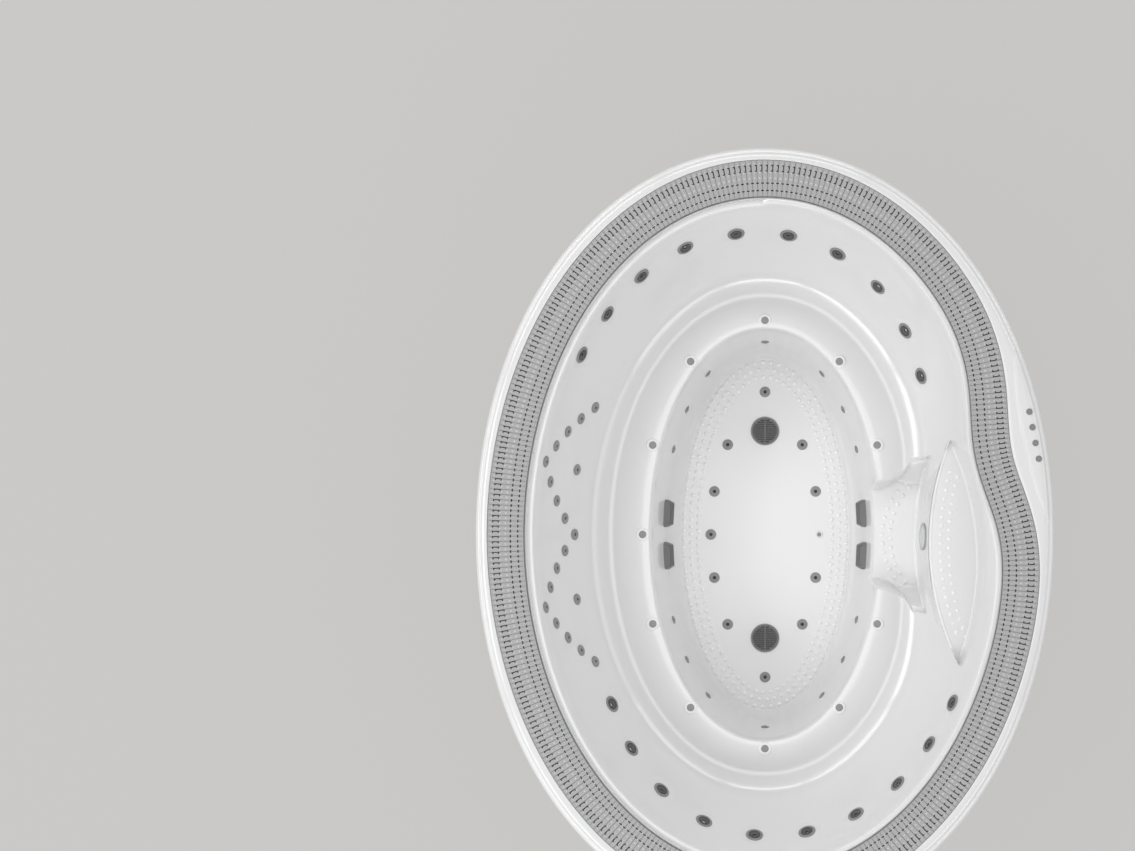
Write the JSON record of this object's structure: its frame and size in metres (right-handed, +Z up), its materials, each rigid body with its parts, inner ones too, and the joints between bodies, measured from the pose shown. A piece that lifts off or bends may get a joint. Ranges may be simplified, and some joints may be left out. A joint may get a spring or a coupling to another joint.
{
  "type": "hot tub",
  "caption": "Oval overflow hot tub for building in, with gutter grating, bench, footwell, entry steps, turning jets, drains and a levelling frame",
  "frame": {"origin": "on the floor, under the middle of the tub", "axes": "+Z up, +Y along the tub's long axis, +X towards the entry steps"},
  "size_m": [2.47, 3.301, 1.047],
  "materials": {
    "shell_acrylic": "glossy white-grey moulded acrylic",
    "grating_plastic": "light grey moulded plastic with a fine grip texture",
    "jet_plastic": "mid-grey moulded plastic, satin",
    "nozzle_plastic": "dark grey moulded plastic, satin",
    "trim_plastic": "pale grey moulded plastic",
    "grille_plastic": "dark grey moulded plastic",
    "lens": "clear polycarbonate",
    "button_plastic": "mid-grey moulded plastic",
    "frame_steel": "hot-dip galvanised square tube",
    "foot_plastic": "black moulded nylon",
    "fastener_steel": "stainless steel",
    "pipe_plastic": "grey PVC pressure pipe",
    "hose_plastic": "white flexible PVC hose"
  },
  "bodies": {
    "tub": {"air_channel": "pipe_plastic", "air_nozzles": "trim_plastic", "back_jets": "jet_plastic", "button_sockets": "button_plastic", "drain_covers": "grille_plastic", "drain_pipes": "pipe_plastic", "drain_sumps": "grille_plastic", "floor_jets": "jet_plastic", "foot_lock_nuts": "fastener_steel", "foot_pads": "foot_plastic", "foot_studs": "fastener_steel", "footwell_inlets": "jet_plastic", "frame_cross_rails": "frame_steel", "frame_posts": "frame_steel", "frame_ring_rails": "frame_steel", "grating_01": "grating_plastic", "grating_02": "grating_plastic", "grating_03": "grating_plastic", "grating_04": "grating_plastic", "grating_05": "grating_plastic", "grating_06": "grating_plastic", "grating_07": "grating_plastic", "grating_08": "grating_plastic", "gutter_outlets": "pipe_plastic", "jet_fittings": "jet_plastic", "jet_hoses": "hose_plastic", "light_bezel": "trim_plastic", "light_housing": "jet_plastic", "light_lens": "lens", "shell_footwell": "shell_acrylic", "shell_gutter": "shell_acrylic", "shell_wall": "shell_acrylic", "suction_boxes": "grille_plastic", "suction_grilles": "grille_plastic", "suction_pipes": "pipe_plastic", "temperature_sensor": "trim_plastic"},
    "jet_nozzle_01": {"jet_nozzle_01": "nozzle_plastic"},
    "jet_nozzle_02": {"jet_nozzle_02": "nozzle_plastic"},
    "jet_nozzle_03": {"jet_nozzle_03": "nozzle_plastic"},
    "jet_nozzle_04": {"jet_nozzle_04": "nozzle_plastic"},
    "jet_nozzle_05": {"jet_nozzle_05": "nozzle_plastic"},
    "jet_nozzle_06": {"jet_nozzle_06": "nozzle_plastic"},
    "jet_nozzle_07": {"jet_nozzle_07": "nozzle_plastic"},
    "jet_nozzle_08": {"jet_nozzle_08": "nozzle_plastic"},
    "jet_nozzle_09": {"jet_nozzle_09": "nozzle_plastic"},
    "jet_nozzle_10": {"jet_nozzle_10": "nozzle_plastic"},
    "jet_nozzle_11": {"jet_nozzle_11": "nozzle_plastic"},
    "jet_nozzle_12": {"jet_nozzle_12": "nozzle_plastic"},
    "jet_nozzle_13": {"jet_nozzle_13": "nozzle_plastic"},
    "jet_nozzle_14": {"jet_nozzle_14": "nozzle_plastic"},
    "jet_nozzle_15": {"jet_nozzle_15": "nozzle_plastic"},
    "jet_nozzle_16": {"jet_nozzle_16": "nozzle_plastic"},
    "jet_nozzle_17": {"jet_nozzle_17": "nozzle_plastic"},
    "jet_nozzle_18": {"jet_nozzle_18": "nozzle_plastic"},
    "jet_nozzle_19": {"jet_nozzle_19": "nozzle_plastic"},
    "jet_nozzle_20": {"jet_nozzle_20": "nozzle_plastic"},
    "button_01": {"button_01": "button_plastic"},
    "button_02": {"button_02": "button_plastic"},
    "button_03": {"button_03": "button_plastic"},
    "button_04": {"button_04": "button_plastic"}
  },
  "joints": [
    {"name": "nozzle_turn_01", "type": "hinge", "parent": "tub", "child": "jet_nozzle_01", "pos_m": [0.69669, 0.70258, 0.69921], "axis": [-0.7919, -0.3158, 0.5226], "continuous": true},
    {"name": "nozzle_turn_02", "type": "hinge", "parent": "tub", "child": "jet_nozzle_02", "pos_m": [0.62333, 0.89965, 0.74389], "axis": [-0.714, -0.4769, 0.5126], "continuous": true},
    {"name": "nozzle_turn_03", "type": "hinge", "parent": "tub", "child": "jet_nozzle_03", "pos_m": [0.49999, 1.08834, 0.7887], "axis": [-0.5968, -0.6333, 0.4927], "continuous": true},
    {"name": "nozzle_turn_04", "type": "hinge", "parent": "tub", "child": "jet_nozzle_04", "pos_m": [0.3208, 1.23048, 0.81096], "axis": [-0.3983, -0.773, 0.4937], "continuous": true},
    {"name": "nozzle_turn_05", "type": "hinge", "parent": "tub", "child": "jet_nozzle_05", "pos_m": [0.10396, 1.31048, 0.821], "axis": [-0.1309, -0.8561, 0.5], "continuous": true},
    {"name": "nozzle_turn_06", "type": "hinge", "parent": "tub", "child": "jet_nozzle_06", "pos_m": [-0.12761, 1.31472, 0.83535], "axis": [0.1608, -0.8587, 0.4866], "continuous": true},
    {"name": "nozzle_turn_07", "type": "hinge", "parent": "tub", "child": "jet_nozzle_07", "pos_m": [-0.34971, 1.25023, 0.86629], "axis": [0.4456, -0.7779, 0.443], "continuous": true},
    {"name": "nozzle_turn_08", "type": "hinge", "parent": "tub", "child": "jet_nozzle_08", "pos_m": [-0.53925, 1.12193, 0.89517], "axis": [0.6326, -0.6619, 0.4021], "continuous": true},
    {"name": "nozzle_turn_09", "type": "hinge", "parent": "tub", "child": "jet_nozzle_09", "pos_m": [-0.68744, 0.95677, 0.90762], "axis": [0.7599, -0.528, 0.3791], "continuous": true},
    {"name": "nozzle_turn_10", "type": "hinge", "parent": "tub", "child": "jet_nozzle_10", "pos_m": [-0.79666, 0.77741, 0.92205], "axis": [0.8406, -0.4054, 0.3594], "continuous": true},
    {"name": "nozzle_turn_11", "type": "hinge", "parent": "tub", "child": "jet_nozzle_11", "pos_m": [0.8154, -0.72895, 0.92169], "axis": [-0.8483, 0.361, 0.3875], "continuous": true},
    {"name": "nozzle_turn_12", "type": "hinge", "parent": "tub", "child": "jet_nozzle_12", "pos_m": [0.71575, -0.9094, 0.90751], "axis": [-0.7835, 0.4857, 0.3876], "continuous": true},
    {"name": "nozzle_turn_13", "type": "hinge", "parent": "tub", "child": "jet_nozzle_13", "pos_m": [0.58002, -1.0821, 0.89521], "axis": [-0.6835, 0.6108, 0.3996], "continuous": true},
    {"name": "nozzle_turn_14", "type": "hinge", "parent": "tub", "child": "jet_nozzle_14", "pos_m": [0.39916, -1.2189, 0.86632], "axis": [-0.4849, 0.7554, 0.4407], "continuous": true},
    {"name": "nozzle_turn_15", "type": "hinge", "parent": "tub", "child": "jet_nozzle_15", "pos_m": [0.18448, -1.30021, 0.83541], "axis": [-0.2526, 0.8388, 0.4822], "continuous": true},
    {"name": "nozzle_turn_16", "type": "hinge", "parent": "tub", "child": "jet_nozzle_16", "pos_m": [-0.04635, -1.3168, 0.82098], "axis": [0.0582, 0.8633, 0.5013], "continuous": true},
    {"name": "nozzle_turn_17", "type": "hinge", "parent": "tub", "child": "jet_nozzle_17", "pos_m": [-0.26946, -1.2572, 0.81089], "axis": [0.3412, 0.7969, 0.4985], "continuous": true},
    {"name": "nozzle_turn_18", "type": "hinge", "parent": "tub", "child": "jet_nozzle_18", "pos_m": [-0.45752, -1.12314, 0.78865], "axis": [0.5569, 0.6659, 0.4964], "continuous": true},
    {"name": "nozzle_turn_19", "type": "hinge", "parent": "tub", "child": "jet_nozzle_19", "pos_m": [-0.59435, -0.944, 0.7438], "axis": [0.6729, 0.5269, 0.5193], "continuous": true},
    {"name": "nozzle_turn_20", "type": "hinge", "parent": "tub", "child": "jet_nozzle_20", "pos_m": [-0.68262, -0.75216, 0.69896], "axis": [0.7518, 0.3758, 0.5418], "continuous": true},
    {"name": "button_01_press", "type": "slide", "parent": "tub", "child": "button_01", "axis": [0, 0, -1], "range_m": [0, 0.003], "stiffness_N_per_m": 400, "springref_m": -0.003},
    {"name": "button_02_press", "type": "slide", "parent": "tub", "child": "button_02", "axis": [0, 0, -1], "range_m": [0, 0.003], "stiffness_N_per_m": 400, "springref_m": -0.003},
    {"name": "button_03_press", "type": "slide", "parent": "tub", "child": "button_03", "axis": [0, 0, -1], "range_m": [0, 0.003], "stiffness_N_per_m": 400, "springref_m": -0.003},
    {"name": "button_04_press", "type": "slide", "parent": "tub", "child": "button_04", "axis": [0, 0, -1], "range_m": [0, 0.003], "stiffness_N_per_m": 400, "springref_m": -0.003}
  ]
}
